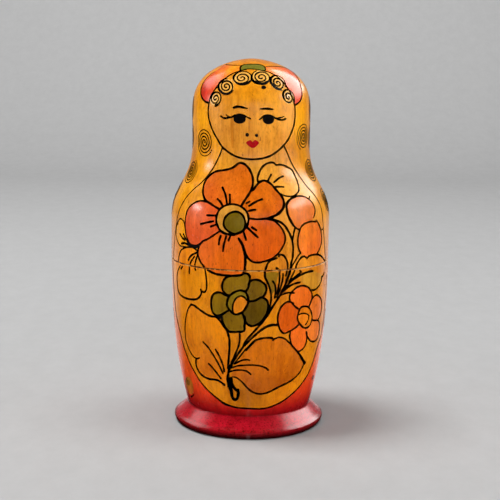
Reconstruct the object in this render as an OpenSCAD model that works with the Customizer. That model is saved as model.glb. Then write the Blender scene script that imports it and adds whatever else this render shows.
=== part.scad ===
// Nesting doll: seven turned wooden figures one inside the other, six of them hollow and in two halves.
// Millimetres, Z up. The doll stands on the ground at the origin and its face looks along -Y.

/* [Figure] */
// Radius of the belly
belly_r = 32.4; // [30:0.1:36]
// How far the figure draws in from the belly where it meets the foot
base_inset = 6.9; // [5.5:0.1:8.5]
// How far the skirt leans out as it leaves the foot
base_flare = 5.5; // [3:0.1:6.5]
// Height over which the skirt keeps that lean
base_lead = 20; // [14:0.5:26]
// Height over which the skirt runs upright into the belly
belly_lead = 25.4; // [18:0.1:32]
// Height at which the shoulder starts
belly_high_h = 77; // [66:0.1:88]
// Height of the upright side of the belly under the shoulder
belly_side_h = 11.8; // [8:0.1:16]
// Height of the shoulder, from the belly to the neck
shoulder_h = 31.2; // [27:0.1:37]
// Height over which the shoulder leaves the belly
shoulder_lead = 14.3; // [8:0.1:18]
// Radius of the neck
neck_r = 23.8; // [22:0.1:27]
// Height over which the shoulder runs into the neck
neck_lead = 16; // [10:0.1:20]
// Height of the face, from the neck to where the head is widest
face_h = 10.9; // [8:0.1:14]
// How far the head stands out from the neck
head_swell = 0.1; // [0.05:0.05:0.8]
// Height of the crown above the widest part of the head
dome_h = 22.8; // [19:0.1:27]
// Roundness of the crown seen from the side, across
dome_across = 1.7; // [1.5:0.05:2.2]
// Roundness of the crown seen from the side, upwards
dome_up = 3; // [2.4:0.1:3.4]

/* [Foot] */
// Height of the foot under the outer figure
foot_h = 8.1; // [7:0.1:10]
// How far the rim of the foot stands out from the figure
foot_ledge = 5.6; // [4.5:0.1:6.8]
// How far the flat sole draws in from the rim
foot_sole_step = 1.2; // [0.6:0.1:4]
// Height at which the rim is widest
foot_side_h = 2.5; // [1.5:0.1:3.5]
// Size of the rounding on the rim
foot_round = 1.7; // [0.8:0.1:2.2]

/* [Halves] */
// Height of the seam between the halves, above the foot
seam_h = 60.9; // [52:0.1:70]
// Thickness of the wall round the belly
wall = 4.4; // [3.8:0.1:5]
// Thickness of the wall round the neck
head_wall = 3.4; // [2.8:0.1:4.2]
// Thickness of wood over the hollow of the head
crown = 13; // [10:0.5:16]
// Thickness of the floor of the lower half
floor_t = 9; // [6:0.5:11]
// Rounding where the floor meets the wall
floor_round = 2.5; // [1.5:0.1:3.5]
// Height of the tenon that stands up from the lower half
tenon_h = 10; // [7:0.1:13]
// Thickness of the tenon
tenon_wall = 2.2; // [1.7:0.1:2.5]
// Gap between tenon and socket, at every size of doll
tenon_gap = 0.1; // [0.06:0.01:0.2]
// Gap between the end of the tenon and the step in the upper half
tenon_end_gap = 0.5; // [0.3:0.1:1]
// Broken edge at the seam
edge = 0.3; // [0.2:0.05:0.5]

/* [Nest] */
// Gap round a doll inside the next larger one
nest_gap = 1.2; // [0.8:0.1:2]
// Film of lacquer between a doll's sole and the floor it stands on
rest_gap = 0.02; // [0.01:0.01:0.1]
// Rounding under the dolls that have no foot
base_round = 2.5; // [1.5:0.1:3.5]

/* [Finish] */
// Colour of the painted lower halves
skirt_paint = "firebrick";
// Colour of the lacquered upper halves
shawl_paint = "orange";
// Colour of the solid doll
solid_paint = "goldenrod";
// Sub-part to build

/* [Hidden] */
$fn = 96;
// Steps in each curve of the profile
curve_steps = 22;
// Steps in each small rounding
round_steps = 6;

// Points along a cubic curve from a to d
function curve(a, b, c, d, steps) = [
  for (i = [0:steps])
    let (t = i / steps, u = 1 - t)
      a * pow(u, 3) + 3 * b * t * pow(u, 2) + 3 * c * pow(t, 2) * u + d * pow(t, 3)
];
// Points of a rounded crown of radius r from the height low up to the axis at the height high
function crown_curve(r, low, high) = [
  for (i = [0:curve_steps])
    let (a = 90 * i / curve_steps)
      [r * pow(cos(a), 2 / dome_across), low + (high - low) * pow(sin(a), 2 / dome_up)]
];
// Points of a quarter round that ends upright at [r, z + size]
function quarter_round(r, z, size) = [
  for (i = [0:round_steps])
    let (a = 90 * i / round_steps)
      [r - size + size * sin(a), z + size - size * cos(a)]
];
function tail(list) = [for (i = [1:len(list) - 1]) list[i]];
function backwards(list) = [for (i = [len(list) - 1:-1:0]) list[i]];
function between(list, low, high) = [for (p = list) if (p[1] > low && p[1] < high) p];
function thinner(list, by) = [for (p = list) [p[0] - by, p[1]]];

// Radii of the base and the foot, counted from the belly, and of the head, counted from the neck
base_r = belly_r - base_inset;
foot_r = base_r + foot_ledge;
foot_sole_r = foot_r - foot_sole_step;
head_r = neck_r + head_swell;
// Heights of the figure above its foot
belly_low_h = belly_high_h - belly_side_h;
neck_h = belly_high_h + shoulder_h;
head_h = neck_h + face_h;
figure_h = head_h + dome_h;

// Outside of a figure, from its base up to the top of the head
neck_mid_h = (neck_h + head_h) / 2;
skin = concat(
  curve([base_r, 0], [base_r + base_flare, base_lead], [belly_r, belly_low_h - belly_lead],
    [belly_r, belly_low_h], curve_steps),
  curve([belly_r, belly_high_h], [belly_r, belly_high_h + shoulder_lead], [neck_r, neck_h - neck_lead],
    [neck_r, neck_h], curve_steps),
  tail(curve([neck_r, neck_h], [neck_r, neck_mid_h], [head_r, neck_mid_h], [head_r, head_h], round_steps)),
  tail(crown_curve(head_r, head_h, figure_h))
);
skin_table = [for (p = skin) [p[1], p[0]]];
function skin_r(z) = lookup(z, skin_table);

// Radii at the seam and of the hollows
seam_r = skin_r(seam_h);
bore_r = seam_r - wall;
tenon_r = bore_r + tenon_wall;
hollow_neck_r = neck_r - head_wall;
// Heights of the hollow of the upper half
socket_top_h = seam_h + tenon_h + tenon_end_gap;
hollow_top_h = figure_h - crown;
hollow_shoulder_h = max(belly_high_h, socket_top_h);
hollow_dome_h = max(neck_h, hollow_top_h - hollow_neck_r * dome_h / head_r);
// Radius of the wall of the lower hollow just above the floor
floor_wall_h = floor_t + floor_round;
floor_wall_r = skin_r(floor_wall_h) - wall;
base_round_r = skin_r(base_round);

// Size of each doll as a share of the one it stands in
nest_share = min([
  (bore_r - nest_gap) / belly_r,
  (hollow_neck_r - nest_gap) / head_r,
  (hollow_top_h - floor_t - nest_gap) / figure_h,
  (floor_wall_r - floor_round) / (base_round_r - base_round)
]);
function size_share(k) = pow(nest_share, k);
// Height of the ground on which doll k stands, counted from the outer doll as doll 0
function rest_z(k) = k == 0 ? foot_h : rest_z(k - 1) + floor_t * size_share(k - 1) + rest_gap;

// Foot of the outer doll, from the sole up to the crease under the skirt
rim_lean_r = (foot_r - base_r) / (foot_h - foot_side_h);
rim_end = [foot_r - foot_round * rim_lean_r, foot_side_h + foot_round];
foot_points = [
  for (p = concat(
    curve([foot_sole_r, 0], [foot_sole_r, 0], [foot_r, foot_side_h / 2], [foot_r, foot_side_h], round_steps),
    tail(curve([foot_r, foot_side_h], [foot_r, foot_side_h + foot_round / 2],
      [rim_end[0] + foot_round * rim_lean_r / 2, rim_end[1] - foot_round / 2], rim_end, round_steps))
  )) [p[0], p[1] - foot_h]
];
round_points = quarter_round(base_round_r, 0, base_round);

// Underside and skirt of doll k up to the height high
function outside_below(k, high) = k == 0
  ? concat([[0, -foot_h]], foot_points, [[base_r, 0]], between(skin, 0, high))
  : concat([[0, 0]], round_points, between(skin, base_round, high));

// Section through the lower half of doll k before it takes its size
function lower_section(k) = concat(
  outside_below(k, seam_h - edge),
  [
    [skin_r(seam_h - edge), seam_h - edge],
    [seam_r - edge, seam_h],
    [tenon_r, seam_h],
    [tenon_r, seam_h + tenon_h - edge],
    [tenon_r - edge, seam_h + tenon_h],
    [bore_r, seam_h + tenon_h],
    [bore_r, seam_h]
  ],
  backwards(thinner(between(skin, floor_wall_h, seam_h), wall)),
  backwards(quarter_round(floor_wall_r, floor_t, floor_round)),
  [[0, floor_t]]
);

// Section through the upper half of doll k before it takes its size
function upper_section(k) =
  let (socket_r = tenon_r + tenon_gap / size_share(k))
    concat(
      [[seam_r - edge, seam_h], [skin_r(seam_h + edge), seam_h + edge]],
      [for (p = skin) if (p[1] > seam_h + edge) p],
      backwards(crown_curve(hollow_neck_r, hollow_dome_h, hollow_top_h)),
      backwards(between(curve([bore_r, hollow_shoulder_h], [bore_r, hollow_shoulder_h + shoulder_lead],
        [hollow_neck_r, neck_h - neck_lead], [hollow_neck_r, neck_h], curve_steps),
        hollow_shoulder_h, hollow_dome_h)),
      [
        [bore_r, hollow_shoulder_h],
        [bore_r, socket_top_h],
        [socket_r, socket_top_h],
        [socket_r, seam_h + edge],
        [socket_r + edge, seam_h]
      ]
    );

// Section turned to the size and place of doll k
module turned(section, k) {
  translate([0, 0, rest_z(k)])
    rotate_extrude()
      polygon(size_share(k) * section);
}

module lower_half(k) {
  color(skirt_paint)
    turned(lower_section(k), k);
}

module upper_half(k) {
  color(shawl_paint)
    turned(upper_section(k), k);
}

module solid_doll(k) {
  color(solid_paint)
    turned(outside_below(k, figure_h + figure_h), k);
}

module doll_1_lower() lower_half(0);
module doll_1_upper() upper_half(0);
module doll_2_lower() lower_half(1);
module doll_2_upper() upper_half(1);
module doll_3_lower() lower_half(2);
module doll_3_upper() upper_half(2);
module doll_4_lower() lower_half(3);
module doll_4_upper() upper_half(3);
module doll_5_lower() lower_half(4);
module doll_5_upper() upper_half(4);
module doll_6_lower() lower_half(5);
module doll_6_upper() upper_half(5);
module doll_7_solid() solid_doll(6);

doll_1_lower();
doll_1_upper();
doll_2_lower();
doll_2_upper();
doll_3_lower();
doll_3_upper();
doll_4_lower();
doll_4_upper();
doll_5_lower();
doll_5_upper();
doll_6_lower();
doll_6_upper();
doll_7_solid();
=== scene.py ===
from math import ceil, cos, degrees, pi, radians, sin

import bpy
import numpy as np
from mathutils import Matrix, Vector
from mathutils.geometry import delaunay_2d_cdt


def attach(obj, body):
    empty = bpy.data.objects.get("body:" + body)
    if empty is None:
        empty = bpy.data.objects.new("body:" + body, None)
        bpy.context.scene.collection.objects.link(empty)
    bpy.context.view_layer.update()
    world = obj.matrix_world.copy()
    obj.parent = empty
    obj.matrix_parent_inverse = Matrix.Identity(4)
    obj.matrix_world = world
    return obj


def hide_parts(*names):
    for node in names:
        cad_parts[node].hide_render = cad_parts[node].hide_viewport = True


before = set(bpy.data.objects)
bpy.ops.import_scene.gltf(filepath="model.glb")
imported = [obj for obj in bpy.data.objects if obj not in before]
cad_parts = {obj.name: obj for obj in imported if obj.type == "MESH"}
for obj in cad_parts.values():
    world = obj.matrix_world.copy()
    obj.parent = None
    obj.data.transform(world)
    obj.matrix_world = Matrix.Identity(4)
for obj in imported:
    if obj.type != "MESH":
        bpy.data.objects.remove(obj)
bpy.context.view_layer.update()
scene = bpy.context.scene

# Sizes of the turned figure in millimetres, heights above the foot
FIGURE_H, BASE_R, BASE_FLARE, BASE_LEAD = 141.9, 25.5, 5.5, 20.0
BELLY_R, BELLY_LOW, BELLY_LEAD, BELLY_HIGH = 32.4, 65.2, 25.4, 77.0
SHOULDER_LEAD, NECK_R, NECK_H, NECK_LEAD = 14.3, 23.8, 108.2, 16.0
HEAD_R, HEAD_H, DOME_ACROSS, DOME_UP = 23.9, 119.1, 1.7, 3.0
FOOT_H, FOOT_R, SOLE_R, FOOT_SIDE, FOOT_ROUND = 8.1, 31.1, 29.9, 2.5, 1.7
SEAM_H, WALL, HEAD_WALL, CROWN = 60.9, 4.4, 3.4, 13.0
FLOOR_T, FLOOR_ROUND, TENON_H, TENON_WALL = 9.0, 2.5, 10.0, 2.2
TENON_GAP, TENON_END, EDGE, NEST_GAP, REST_GAP, BASE_ROUND = 0.1, 0.5, 0.3, 1.2, 0.02, 2.5
CREASE = 0.6  # small fillet where the skirt meets the foot
DOLLS = 7
TINY = 1e-6  # shorter lengths count as none


# ---------- the turned profile: points are (radius, height) ----------
def bez(a, b, c, d, n):
    """A cubic Bezier curve in n steps."""
    t = np.linspace(0, 1, n + 1)[:, None]
    a, b, c, d = (np.array(p, float) for p in (a, b, c, d))
    return (1 - t) ** 3 * a + 3 * (1 - t) ** 2 * t * b + 3 * (1 - t) * t * t * c + t**3 * d


def add_up(steps):
    """Distance gone after each step."""
    return np.concatenate([[0], np.cumsum(np.hypot(*steps.T))])


def crown_curve(r, low, high, n):
    """A dome from radius r to the axis."""
    a = np.linspace(0, pi / 2, n + 1)
    c = np.clip(np.cos(a), 0, 1)
    c[-1] = 0
    return np.stack([r * c ** (2 / DOME_ACROSS), low + (high - low) * np.sin(a) ** (2 / DOME_UP)], 1)


def shoulder(r, low, neck_r, n):
    """From the belly, or the bore inside it, to the neck."""
    return bez((r, low), (r, low + SHOULDER_LEAD), (neck_r, NECK_H - NECK_LEAD), (neck_r, NECK_H), n)


def figure(n):
    """The outside above the foot, from the base to the top of the head."""
    mid = (NECK_H + HEAD_H) / 2
    lean = (BASE_R + BASE_FLARE, BASE_LEAD)
    return np.concatenate([
        bez((BASE_R, 0), lean, (BELLY_R, BELLY_LOW - BELLY_LEAD), (BELLY_R, BELLY_LOW), n),
        np.linspace((BELLY_R, BELLY_LOW), (BELLY_R, BELLY_HIGH), 6)[1:-1],
        shoulder(BELLY_R, BELLY_HIGH, NECK_R, n),
        bez((NECK_R, NECK_H), (NECK_R, mid), (HEAD_R, mid), (HEAD_R, HEAD_H), max(4, n // 4))[1:],
        crown_curve(HEAD_R, HEAD_H, FIGURE_H, n)[1:],
    ])


FINE = figure(400)
ARC = add_up(np.diff(FINE, axis=0))
SKIN_R, SKIN_Z = FINE.T
SLOPE = np.gradient(FINE, ARC, axis=0)


def skin_r(z):
    """Radius of the skin at a height."""
    return np.interp(z, SKIN_Z, SKIN_R)


def arc_at(z):
    """Distance along the profile at a height."""
    return np.interp(z, SKIN_Z, ARC)


def arc_r(s):
    """Radius of the skin at a distance along the profile."""
    return np.interp(s, ARC, SKIN_R)


SEAM_R = float(skin_r(SEAM_H))
BORE_R = SEAM_R - WALL
TENON_R = BORE_R + TENON_WALL
HOLLOW_NECK_R = NECK_R - HEAD_WALL
SOCKET_TOP, HOLLOW_TOP = SEAM_H + TENON_H + TENON_END, FIGURE_H - CROWN
HOLLOW_DOME = max(NECK_H, HOLLOW_TOP - HOLLOW_NECK_R * (FIGURE_H - HEAD_H) / HEAD_R)
FLOOR_WALL_H = FLOOR_T + FLOOR_ROUND
FLOOR_WALL_R = float(skin_r(FLOOR_WALL_H)) - WALL
BASE_ROUND_R = float(skin_r(BASE_ROUND))
# Size of each doll to the one around it: the largest that the bore, head, height and floor allow
NEST = min(
    (BORE_R - NEST_GAP) / BELLY_R,
    (HOLLOW_NECK_R - NEST_GAP) / HEAD_R,
    (HOLLOW_TOP - FLOOR_T - NEST_GAP) / FIGURE_H,
    (FLOOR_WALL_R - FLOOR_ROUND) / (BASE_ROUND_R - BASE_ROUND),
)


def size_of(k):
    return NEST**k


def rest_of(k):
    return FOOT_H if k == 0 else rest_of(k - 1) + FLOOR_T * size_of(k - 1) + REST_GAP


def quarter(r, z, size, n):
    """A rounded corner from a floor at height z out to a wall of radius r."""
    a = np.linspace(0, pi / 2, n + 1)
    return np.stack([r - size + size * np.sin(a), z + size - size * np.cos(a)], 1)


def foot_curve(n):
    """The foot of the outer doll from the sole to the crease above it."""
    lean = (FOOT_R - BASE_R) / (FOOT_H - FOOT_SIDE)
    end = (FOOT_R - FOOT_ROUND * lean, FOOT_SIDE + FOOT_ROUND)
    side = bez((SOLE_R, 0), (SOLE_R, 0), (FOOT_R, FOOT_SIDE / 2), (FOOT_R, FOOT_SIDE), n)
    rim = bez((FOOT_R, FOOT_SIDE), (FOOT_R, FOOT_SIDE + FOOT_ROUND / 2),
              (end[0] + FOOT_ROUND * lean / 2, end[1] - FOOT_ROUND / 2), end, n)[1:]
    low, high = (BASE_R + CREASE * lean, FOOT_H - CREASE), (float(skin_r(CREASE)), FOOT_H + CREASE)
    crease = bez(low, (BASE_R + CREASE * lean / 3, FOOT_H - CREASE / 3), (BASE_R, FOOT_H), high, 6)
    return np.concatenate([side, rim, np.linspace(end, low, 8)[1:], crease[1:]]) - (0, FOOT_H)


def between(p, low, high):
    return p[(p[:, 1] > low + TINY) & (p[:, 1] < high - TINY)]


# kinds of face: painted wood, the seam's chamfer with wear and painted shade, bare wood
PAINT, WORN_SHADED, RAW = 0, 1, 2


def chain(*runs):
    """Joins (kind, points) runs into one section with the kind of each step."""
    pts = np.concatenate([np.array(run, float).reshape(-1, 2) for _, run in runs])
    kinds = [kind for kind, run in runs for _ in run]
    return pts, kinds[1:]


def outside_below(k, skin, high, n):
    """From the middle of the sole up the outside; only the outer doll has a foot."""
    if k == 0:
        return [(PAINT, [(0, -FOOT_H), (SOLE_R * 0.5, -FOOT_H)]), (PAINT, foot_curve(n // 3)),
                (PAINT, between(skin, CREASE, high))]
    return [(PAINT, [(0, 0), (BASE_ROUND_R * 0.5, 0)]), (PAINT, quarter(BASE_ROUND_R, 0, BASE_ROUND, n // 4)),
            (PAINT, between(skin, BASE_ROUND, high))]


def lower_section(k, n):
    skin = figure(n)
    return chain(
        *outside_below(k, skin, SEAM_H - EDGE, n),
        (PAINT, [(skin_r(SEAM_H - EDGE), SEAM_H - EDGE)]),
        (WORN_SHADED, [(SEAM_R - EDGE, SEAM_H)]),
        (RAW, [(TENON_R, SEAM_H), (TENON_R, SEAM_H + TENON_H - EDGE), (TENON_R - EDGE, SEAM_H + TENON_H),
               (BORE_R, SEAM_H + TENON_H), (BORE_R, SEAM_H)]),
        (RAW, between(skin, FLOOR_WALL_H, SEAM_H)[::-1] - (WALL, 0)),
        (RAW, quarter(FLOOR_WALL_R, FLOOR_T, FLOOR_ROUND, n // 4)[::-1]),
        (RAW, [(FLOOR_WALL_R * 0.5, FLOOR_T), (0, FLOOR_T)]),
    )


def upper_section(k, n):
    socket = TENON_R + TENON_GAP / size_of(k)
    low = max(BELLY_HIGH, SOCKET_TOP)
    return chain(
        (RAW, crown_curve(HOLLOW_NECK_R, HOLLOW_DOME, HOLLOW_TOP, n)[::-1]),
        (RAW, between(shoulder(BORE_R, low, HOLLOW_NECK_R, n), low, HOLLOW_DOME)[::-1]),
        (RAW, [(BORE_R, low), (BORE_R, SOCKET_TOP), (socket, SOCKET_TOP), (socket, SEAM_H + EDGE),
               (socket + EDGE, SEAM_H), (SEAM_R - EDGE, SEAM_H)]),
        (WORN_SHADED, [(skin_r(SEAM_H + EDGE), SEAM_H + EDGE)]),
        (PAINT, between(figure(n), SEAM_H + EDGE, FIGURE_H)),
        (PAINT, [(0, FIGURE_H)]),
    )


def solid_section(k, n):
    return chain(*outside_below(k, figure(n), FIGURE_H, n), (PAINT, [(0, FIGURE_H)]))


# ---------- colours: sRGB values from 0 to 255 ----------
def lin(r, g, b):
    """The linear colour that Blender works with."""
    c = np.array([r, g, b], float) / 255
    return np.where(c <= 0.04045, c / 12.92, ((c + 0.055) / 1.055) ** 2.4)


# Dye of the wood at heights above the foot, with painted shade on the foot and at the crease
YELLOW = (238, 157, 16)
SHAWL = [(60.9, (208, 124, 18)), (72, (222, 140, 24)), (88, YELLOW), (106, (226, 146, 22)), (118, YELLOW),
         (142, (230, 142, 20))]
# The skirt darkens the foot towards the sole and lays a dark band just above the crease: painted shade under the foot's
# edge and in the crease
SKIRT = [(-8.1, (18, 1, 2)), (-6.8, (70, 4, 8)), (-5.4, (128, 9, 18)), (-4.3, (175, 17, 33)), (-3, (182, 19, 36)),
         (-0.4, (178, 17, 34)), (0.2, (110, 3, 8)), (2.5, (156, 9, 14)), (9, (214, 56, 14)), (18, (226, 86, 16)),
         (30, (226, 102, 14)), (45, (220, 118, 13)), (60.9, (214, 126, 14))]
# How the dye of each doll differs a little
SHADES = np.array([(1, 1, 1), (1.0, 0.98, 0.92), (0.98, 0.94, 0.9), (1.02, 0.96, 0.85), (0.97, 0.95, 0.95),
                   (1.0, 0.92, 0.85), (1.0, 0.9, 0.8)])
# How rubbed the lacquer is at a height: most on the foot, then at the seam and on the crown
RUBBED = [(-8, 1), (-1, 0.8), (2, 0.15), (58, 0.15), (SEAM_H, 0.7), (64, 0.1), (135, 0.1), (FIGURE_H, 0.5)]


def tone_at(z, stops):
    cs = np.array([lin(*c) for _, c in stops])
    return np.stack([np.interp(z, [h for h, _ in stops], cs[:, i]) for i in range(3)], -1)


def rubbed_at(z):
    return float(np.interp(z, *zip(*RUBBED)))


# ---------- materials ----------
GLOSS = 0.5  # specular level of the lacquer
BRUSHED, DULLER = 0.17, 0.29  # roughness of the lacquer, from its glossiest to its dullest patches


def grey(v):
    return (v, v, v)


# Wood seen through the dye: broad bands, streaks, soft blotches, flecks and small dark pores,
# each with its scale, stretch along the grain, detail, roughness, strength and tones
GRAIN = (
    (300, 0.07, 3, 0.6, 1.0, [(0.30, (0.86, 0.78, 0.64)), (0.50, grey(1)), (0.70, grey(1.10))]),
    (1100, 0.08, 4, 0.65, 1.0, [(0.28, (0.82, 0.76, 0.68)), (0.50, grey(1)), (0.72, grey(1.12))]),
    (110, 0.6, 4, 0.65, 0.9, [(0.28, (0.76, 0.64, 0.48)), (0.50, grey(1)), (0.74, (1.10, 1.13, 1.2))]),
    (900, 0.5, 3, 0.7, 0.8, [(0.30, (0.76, 0.66, 0.56)), (0.48, grey(1)), (0.70, grey(1.12))]),
    (1500, 0.35, 2, 0.5, 0.8, [(0.26, (0.36, 0.24, 0.16)), (0.34, grey(1))]),
)


def feed(nt, n, inputs):
    """Gives a node its inputs: links to sockets, or plain values."""
    for key, value in inputs.items():
        socket = n.inputs[key]
        if isinstance(value, bpy.types.NodeSocket):
            nt.links.new(value, socket)
        else:
            socket.default_value = value


def node(nt, kind, inputs=None, **props):
    n = nt.nodes.new(kind)
    for key, value in props.items():
        setattr(n, key, value)
    feed(nt, n, inputs or {})
    return n


def material(name):
    m = bpy.data.materials.new(name)
    m.use_nodes = True
    return m, m.node_tree, m.node_tree.nodes["Principled BSDF"]


def place_on(nt):
    return node(nt, "ShaderNodeTexCoord").outputs["Object"]


def maths(nt, op, a, b=0.0, c=0.0):
    return node(nt, "ShaderNodeMath", {0: a, 1: b, 2: c}, operation=op).outputs[0]


def map_range(nt, value, low, high, top=1.0):
    """0 below low, top above high."""
    return node(nt, "ShaderNodeMapRange", {0: value, 1: low, 2: high, 3: 0.0, 4: top}).outputs[0]


def ramp(nt, value, stops):
    n = node(nt, "ShaderNodeValToRGB", {0: value})
    e = n.color_ramp.elements
    while len(e) < len(stops):
        e.new(0.5)
    for el, (position, colour) in zip(e, stops):
        el.position = position
        el.color = (*colour, 1)
    return n.outputs[0]


def noise(nt, place, scale, stretch=(1, 1, 1), detail=3.0, rough=0.5):
    vector = node(nt, "ShaderNodeMapping", {0: place, "Scale": stretch}).outputs[0]
    return node(nt, "ShaderNodeTexNoise",
                {"Vector": vector, "Scale": scale, "Detail": detail, "Roughness": rough}).outputs[0]


def mix_colour(nt, kind, factor, a, b):
    n = node(nt, "ShaderNodeMix", data_type="RGBA", blend_type=kind)
    index = {s.identifier: i for i, s in enumerate(n.inputs)}
    feed(nt, n, {index["Factor_Float"]: factor, index["A_Color"]: a, index["B_Color"]: b})
    return next(o for o in n.outputs if o.identifier == "Result_Color")


def bump(nt, height, strength, distance):
    return node(nt, "ShaderNodeBump", {"Strength": strength, "Distance": distance, "Height": height}).outputs[0]


def dye_material():
    """Grain under the dye, chips where it is rubbed, and brushed lacquer with a soft wave and small dents."""
    m, nt, bsdf = material("dye_under_lacquer")
    place = place_on(nt)
    colour = node(nt, "ShaderNodeAttribute", attribute_name="dye").outputs["Color"]
    rubbed = node(nt, "ShaderNodeAttribute", attribute_name="wear").outputs["Fac"]
    for scale, along, detail, rough, strength, tones in GRAIN:
        layer = ramp(nt, noise(nt, place, scale, (1, 1, along), detail, rough), tones)
        colour = mix_colour(nt, "MULTIPLY", strength, colour, layer)
    chips = maths(nt, "MULTIPLY_ADD", rubbed, 0.17, noise(nt, place, 1300, (1, 1, 1.6), 3, 0.6))
    chipped = ramp(nt, chips, [(0.70, grey(1)), (0.77, (0.24, 0.14, 0.12))])
    wave, dents = noise(nt, place, 150, (1, 1, 0.6)), noise(nt, place, 1000, (1, 1, 0.4), 2)
    feed(nt, bsdf, {
        "Base Color": mix_colour(nt, "MULTIPLY", 0.85, colour, chipped),
        "Roughness": ramp(nt, noise(nt, place, 70), [(0.3, grey(BRUSHED)), (0.7, grey(DULLER))]),
        "Specular IOR Level": GLOSS,
        "Normal": bump(nt, maths(nt, "ADD", wave, maths(nt, "MULTIPLY", dents, 0.18)), 0.24, 0.0002),
    })
    return m


def ink_material():
    m, nt, bsdf = material("ink_under_lacquer")
    feed(nt, bsdf, {"Base Color": (0.003, 0.002, 0.002, 1), "Roughness": 0.3, "Specular IOR Level": GLOSS})
    return m


def raw_material():
    m, nt, bsdf = material("raw_turned_wood")
    place = place_on(nt)
    rings = noise(nt, place, 60, (0.25, 0.25, 40), 3, 0.6)
    streak = noise(nt, place, 420, (1, 1, 0.05), 4, 0.6)
    wood = ramp(nt, streak, [(0.3, lin(196, 158, 108)), (0.55, lin(222, 190, 142)), (0.75, lin(232, 205, 162))])
    turned = ramp(nt, rings, [(0.35, (0.80, 0.76, 0.70)), (0.6, grey(1))])
    feed(nt, bsdf, {"Base Color": mix_colour(nt, "MULTIPLY", 0.6, wood, turned), "Roughness": 0.68,
                    "Normal": bump(nt, rings, 0.35, 0.0003)})
    return m


def seam_wear_and_shade_material(name, bare):
    """Rubbed edge of a seam, dark brown for the most part as painted shade in the groove between the halves; bare is
    where the noise leaves the wood uncovered.
    """
    m, nt, bsdf = material(name)
    # the dark brown is painted shade in the seam's groove; the last tone is the wood where the lacquer is rubbed
    # through
    tones = [(0.30, lin(58, 26, 8)), (bare - 0.02, lin(128, 68, 18)), (bare, lin(212, 160, 86))]
    patches = noise(nt, place_on(nt), 170, (1, 1, 0.3), 5, 0.7)
    feed(nt, bsdf, {"Base Color": ramp(nt, patches, tones), "Roughness": 0.6})
    return m


DYE, INK, RAW_WOOD = dye_material(), ink_material(), raw_material()
# seam chamfers: rubbed wood and painted groove shade, the upper one nearly all painted shade
SEAM_WEAR_SHADE_BELOW, SEAM_WEAR_SHADE_ABOVE = seam_wear_and_shade_material("seam_wear_and_shade_below", 0.51), seam_wear_and_shade_material("seam_wear_and_shade_above", 0.74)


# ---------- meshes ----------
SHARP = cos(radians(24))  # a turned edge with a greater bend than this is sharp


def new_object(name, verts, faces, uv, colours, mats, kinds, normals=None, wear=None):
    """A smooth mesh from points in millimetres, with a material for each face and a dye for each point."""
    me = bpy.data.meshes.new(name)
    me.from_pydata([tuple(v) for v in np.asarray(verts) * 0.001], [], faces)
    for m in mats:
        me.materials.append(m)
    me.polygons.foreach_set("material_index", np.asarray(kinds, np.int32))
    me.polygons.foreach_set("use_smooth", np.ones(len(me.polygons), bool))
    me.uv_layers.new(name="OFBake").data.foreach_set("uv", np.asarray(uv, np.float32).ravel())
    rgba = np.ones((len(me.vertices), 4), np.float32)
    rgba[:, :3] = colours
    me.attributes.new("dye", "FLOAT_COLOR", "POINT").data.foreach_set("color", rgba.ravel())
    if wear is not None:
        me.attributes.new("wear", "FLOAT", "POINT").data.foreach_set("value", np.asarray(wear, np.float32))
    if normals is not None:
        me.normals_split_custom_set_from_vertices([tuple(n) for n in normals])
    o = bpy.data.objects.new(name, me)
    scene.collection.objects.link(o)
    return o


def lathe(name, section, kinds, k, seg, seam_wear_shade, colour_at):
    """Turns a section, from axis to axis, at the size and place of doll k."""
    s, z0 = size_of(k), rest_of(k)
    length = add_up(np.diff(section, axis=0))
    v_of = length / length[-1]
    pole = section[:, 0] < TINY
    angles = np.arange(seg) * 2 * pi / seg
    verts, first, cols, wear = [], [], [], []
    for r, z in section:
        h = z0 + s * z
        ring = [(0, 0, h)] if r < TINY else [(s * r * sin(a), -s * r * cos(a), h) for a in angles]
        first.append(len(verts))
        verts += ring
        cols += [colour_at(z)] * len(ring)
        wear += [rubbed_at(z)] * len(ring)
    faces, uv = [], []
    for i in range(len(kinds)):
        for j in range(seg):
            u0, u1, mid = j / seg, (j + 1) / seg, (j / seg + (j + 1) / seg) / 2
            corners = [(i, j, u0), (i, j + 1, u1), (i + 1, j + 1, u1), (i + 1, j, u0)]
            if pole[i]:
                corners[:2] = [(i, j, mid)]
            elif pole[i + 1]:
                corners[2:] = [(i + 1, j, mid)]
            faces.append([first[q] + (0 if pole[q] else t % seg) for q, t, _ in corners])
            uv += [(u, v_of[q]) for q, _, u in corners]
    o = new_object(name, verts, faces, uv, np.array(cols), (DYE, seam_wear_shade, RAW_WOOD), np.repeat(kinds, seg), wear=wear)
    d = np.diff(section, axis=0)
    d = d / np.maximum(np.hypot(*d.T), 1e-9)[:, None]
    sharp_rings = [i + 1 for i in range(len(d) - 1) if float(d[i] @ d[i + 1]) < SHARP]
    ring_of = np.repeat(np.arange(len(section)), np.where(pole, 1, seg))
    pairs = np.zeros(len(o.data.edges) * 2, np.int32)
    o.data.edges.foreach_get("vertices", pairs)
    a, b = ring_of[pairs.reshape(-1, 2)].T
    sharp = (a == b) & np.isin(a, sharp_rings)
    o.data.attributes.new("sharp_edge", "BOOLEAN", "EDGE").data.foreach_set("value", sharp)
    return o


# ---------- camera, fitted to the outline in the photograph ----------
PHOTO = 500  # pixels on a side
FOCAL_PX = 1202.4
SENSOR = 36
PITCH, ROLL = radians(9.797), radians(0.568)
EYE = np.array([0.0, -490.46, 156.36])
NEAR, FAR = 430, 530  # distances from the eye between which every line of sight meets the doll

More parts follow.
